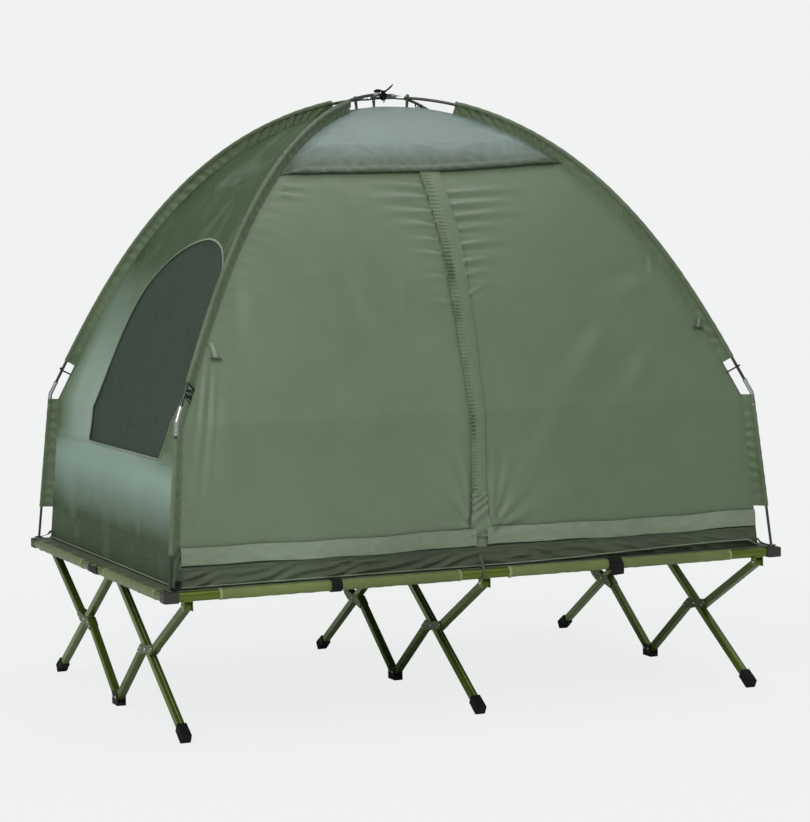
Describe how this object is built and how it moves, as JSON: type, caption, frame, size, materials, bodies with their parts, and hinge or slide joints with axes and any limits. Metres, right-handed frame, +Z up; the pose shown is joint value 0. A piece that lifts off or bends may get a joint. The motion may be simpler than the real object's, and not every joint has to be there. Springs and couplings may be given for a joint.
{
  "type": "tent cot",
  "caption": "Folding camp bed on crossed lattice legs, with a crossed-pole tent on it, a zipped front door and net end windows.",
  "frame": {"origin": "on the floor under the middle of the bed", "axes": "+Z up, +X along the bed, -Y towards the door side"},
  "size_m": [1.936, 1.436, 1.8401],
  "materials": {
    "olive_tube": "anodised olive green, satin",
    "black_plastic": "matt black moulded plastic",
    "black_rubber": "matt black rubber",
    "bed_cloth": "olive green woven polyester",
    "tent_cloth": "green coated polyester with a soft sheen",
    "tub_cloth": "dark green coated polyester",
    "window_net": "dark grey-green net",
    "pole_cloth": "dark green pole and webbing",
    "steel": "bright plated steel"
  },
  "bodies": {
    "middle_base": {"middle_low_hinge_block": "black_plastic"},
    "near_rail_frame": {"near_rail": "olive_tube", "left_near_rail_bracket": "olive_tube", "middle_near_rail_bracket": "olive_tube", "right_near_rail_bracket": "olive_tube", "bed_fabric": "bed_cloth"},
    "far_rail_frame": {"far_rail": "olive_tube", "left_far_rail_bracket": "olive_tube", "middle_far_rail_bracket": "olive_tube", "right_far_rail_bracket": "olive_tube"},
    "middle_near_brace": {"middle_near_brace_lower": "olive_tube", "middle_near_brace_upper": "olive_tube"},
    "middle_far_brace": {"middle_far_brace_lower": "olive_tube", "middle_far_brace_upper": "olive_tube"},
    "left_near_brace": {"left_near_brace_lower": "olive_tube", "left_near_brace_upper": "olive_tube"},
    "left_far_brace": {"left_far_brace_lower": "olive_tube", "left_far_brace_upper": "olive_tube"},
    "right_near_brace": {"right_near_brace_lower": "olive_tube", "right_near_brace_upper": "olive_tube"},
    "right_far_brace": {"right_far_brace_lower": "olive_tube", "right_far_brace_upper": "olive_tube"},
    "middle_near_leg": {"middle_near_leg": "olive_tube", "middle_near_foot_cap": "black_rubber"},
    "middle_far_leg": {"middle_far_leg": "olive_tube", "middle_far_foot_cap": "black_rubber"},
    "left_near_leg": {"left_near_leg": "olive_tube", "left_near_foot_cap": "black_rubber"},
    "left_far_leg": {"left_far_leg": "olive_tube", "left_far_foot_cap": "black_rubber"},
    "right_near_leg": {"right_near_leg": "olive_tube", "right_near_foot_cap": "black_rubber"},
    "right_far_leg": {"right_far_leg": "olive_tube", "right_far_foot_cap": "black_rubber"},
    "middle_top_hinge": {"middle_top_hinge_block": "black_plastic"},
    "left_top_hinge": {"left_top_hinge_block": "black_plastic"},
    "right_top_hinge": {"right_top_hinge_block": "black_plastic"},
    "left_base": {"left_low_hinge_block": "black_plastic"},
    "right_base": {"right_low_hinge_block": "black_plastic"},
    "left_end_bar": {"left_end_bar": "olive_tube"},
    "right_end_bar": {"right_end_bar": "olive_tube"},
    "tent": {"tent_floor_tub": "tub_cloth", "front_canopy": "tent_cloth", "back_wall": "tent_cloth", "left_end_wall": "tent_cloth", "right_end_wall": "tent_cloth", "left_window_net": "window_net", "right_window_net": "window_net", "left_door_flap": "tent_cloth", "right_door_flap": "tent_cloth", "storm_flap": "tent_cloth", "pole_over": "pole_cloth", "pole_under": "pole_cloth", "near_left_corner_rod": "steel", "far_left_corner_rod": "steel", "near_right_corner_rod": "steel", "far_right_corner_rod": "steel", "crossing_tie": "pole_cloth"},
    "left_zip_slider": {"left_zip_slider": "steel"},
    "right_zip_slider": {"right_zip_slider": "steel"}
  },
  "joints": [
    {"name": "frame_fold", "type": "hinge", "parent": "middle_base", "child": "middle_near_brace", "pos_m": [0, -0.013, 0.025], "axis": [-1, 0, 0], "range_deg": [0, 52], "deforming": ["bed_fabric"]},
    {"name": "middle_far_brace_fold", "type": "hinge", "parent": "middle_base", "child": "middle_far_brace", "pos_m": [0, 0.013, 0.025], "axis": [1, 0, 0], "range_deg": [0, 52]},
    {"name": "near_rail_level", "type": "hinge", "parent": "middle_near_brace", "child": "near_rail_frame", "pos_m": [0, -0.7, 0.38787], "axis": [-1, 0, 0], "range_deg": [-52, 0]},
    {"name": "far_rail_level", "type": "hinge", "parent": "middle_far_brace", "child": "far_rail_frame", "pos_m": [0, 0.7, 0.38787], "axis": [1, 0, 0], "range_deg": [-52, 0]},
    {"name": "left_near_brace_fold", "type": "hinge", "parent": "near_rail_frame", "child": "left_near_brace", "pos_m": [-0.893, -0.7, 0.38787], "axis": [-1, 0, 0], "range_deg": [0, 52]},
    {"name": "left_far_brace_fold", "type": "hinge", "parent": "far_rail_frame", "child": "left_far_brace", "pos_m": [-0.893, 0.7, 0.38787], "axis": [1, 0, 0], "range_deg": [0, 52]},
    {"name": "right_near_brace_fold", "type": "hinge", "parent": "near_rail_frame", "child": "right_near_brace", "pos_m": [0.893, -0.7, 0.38787], "axis": [-1, 0, 0], "range_deg": [0, 52]},
    {"name": "right_far_brace_fold", "type": "hinge", "parent": "far_rail_frame", "child": "right_far_brace", "pos_m": [0.893, 0.7, 0.38787], "axis": [1, 0, 0], "range_deg": [0, 52]},
    {"name": "middle_near_leg_cross", "type": "hinge", "parent": "middle_near_brace", "child": "middle_near_leg", "pos_m": [0, -0.324, 0.215], "axis": [-1, 0, 0], "range_deg": [-104, 0]},
    {"name": "middle_far_leg_cross", "type": "hinge", "parent": "middle_far_brace", "child": "middle_far_leg", "pos_m": [0, 0.324, 0.215], "axis": [1, 0, 0], "range_deg": [-104, 0]},
    {"name": "left_near_leg_cross", "type": "hinge", "parent": "left_near_brace", "child": "left_near_leg", "pos_m": [-0.893, -0.324, 0.215], "axis": [-1, 0, 0], "range_deg": [-104, 0]},
    {"name": "left_far_leg_cross", "type": "hinge", "parent": "left_far_brace", "child": "left_far_leg", "pos_m": [-0.893, 0.324, 0.215], "axis": [1, 0, 0], "range_deg": [-104, 0]},
    {"name": "right_near_leg_cross", "type": "hinge", "parent": "right_near_brace", "child": "right_near_leg", "pos_m": [0.893, -0.324, 0.215], "axis": [-1, 0, 0], "range_deg": [-104, 0]},
    {"name": "right_far_leg_cross", "type": "hinge", "parent": "right_far_brace", "child": "right_far_leg", "pos_m": [0.893, 0.324, 0.215], "axis": [1, 0, 0], "range_deg": [-104, 0]},
    {"name": "middle_top_hinge_level", "type": "hinge", "parent": "middle_near_leg", "child": "middle_top_hinge", "pos_m": [0, -0.013, 0.405], "axis": [-1, 0, 0], "range_deg": [0, 52]},
    {"name": "left_top_hinge_level", "type": "hinge", "parent": "left_near_leg", "child": "left_top_hinge", "pos_m": [-0.893, -0.013, 0.405], "axis": [-1, 0, 0], "range_deg": [0, 52]},
    {"name": "right_top_hinge_level", "type": "hinge", "parent": "right_near_leg", "child": "right_top_hinge", "pos_m": [0.893, -0.013, 0.405], "axis": [-1, 0, 0], "range_deg": [0, 52]},
    {"name": "left_base_level", "type": "hinge", "parent": "left_near_brace", "child": "left_base", "pos_m": [-0.893, -0.013, 0.025], "axis": [-1, 0, 0], "range_deg": [-52, 0]},
    {"name": "right_base_level", "type": "hinge", "parent": "right_near_brace", "child": "right_base", "pos_m": [0.893, -0.013, 0.025], "axis": [-1, 0, 0], "range_deg": [-52, 0]},
    {"name": "left_end_bar_pull", "type": "slide", "parent": "middle_base", "child": "left_end_bar", "axis": [-1, 0, 0], "range_m": [0, 0.23]},
    {"name": "right_end_bar_pull", "type": "slide", "parent": "middle_base", "child": "right_end_bar", "axis": [1, 0, 0], "range_m": [0, 0.23]},
    {"name": "tent_lift", "type": "slide", "parent": "middle_base", "child": "tent", "axis": [0, 0, 1], "range_m": [0, 0.69]},
    {"name": "left_door_zip", "type": "slide", "parent": "tent", "child": "left_zip_slider", "axis": [-1, 0, 0], "range_m": [0, 0.84], "deforming": ["left_door_flap"]},
    {"name": "right_door_zip", "type": "slide", "parent": "tent", "child": "right_zip_slider", "axis": [1, 0, 0], "range_m": [0, 0.8], "deforming": ["right_door_flap", "storm_flap"]}
  ],
  "couplings": [
    {"joint": "middle_far_brace_fold", "follows": "frame_fold", "ratio": 1},
    {"joint": "near_rail_level", "follows": "frame_fold", "ratio": -1},
    {"joint": "far_rail_level", "follows": "frame_fold", "ratio": -1},
    {"joint": "left_near_brace_fold", "follows": "frame_fold", "ratio": 1},
    {"joint": "left_far_brace_fold", "follows": "frame_fold", "ratio": 1},
    {"joint": "right_near_brace_fold", "follows": "frame_fold", "ratio": 1},
    {"joint": "right_far_brace_fold", "follows": "frame_fold", "ratio": 1},
    {"joint": "middle_near_leg_cross", "follows": "frame_fold", "ratio": -2},
    {"joint": "middle_far_leg_cross", "follows": "frame_fold", "ratio": -2},
    {"joint": "left_near_leg_cross", "follows": "frame_fold", "ratio": -2},
    {"joint": "left_far_leg_cross", "follows": "frame_fold", "ratio": -2},
    {"joint": "right_near_leg_cross", "follows": "frame_fold", "ratio": -2},
    {"joint": "right_far_leg_cross", "follows": "frame_fold", "ratio": -2},
    {"joint": "middle_top_hinge_level", "follows": "frame_fold", "ratio": 1},
    {"joint": "left_top_hinge_level", "follows": "frame_fold", "ratio": 1},
    {"joint": "right_top_hinge_level", "follows": "frame_fold", "ratio": 1},
    {"joint": "left_base_level", "follows": "frame_fold", "ratio": -1},
    {"joint": "right_base_level", "follows": "frame_fold", "ratio": -1},
    {"joint": "left_end_bar_pull", "follows": "frame_fold", "m_per_rad": 0.25},
    {"joint": "right_end_bar_pull", "follows": "frame_fold", "m_per_rad": 0.25},
    {"joint": "tent_lift", "follows": "frame_fold", "m_per_rad": 0.75}
  ]
}
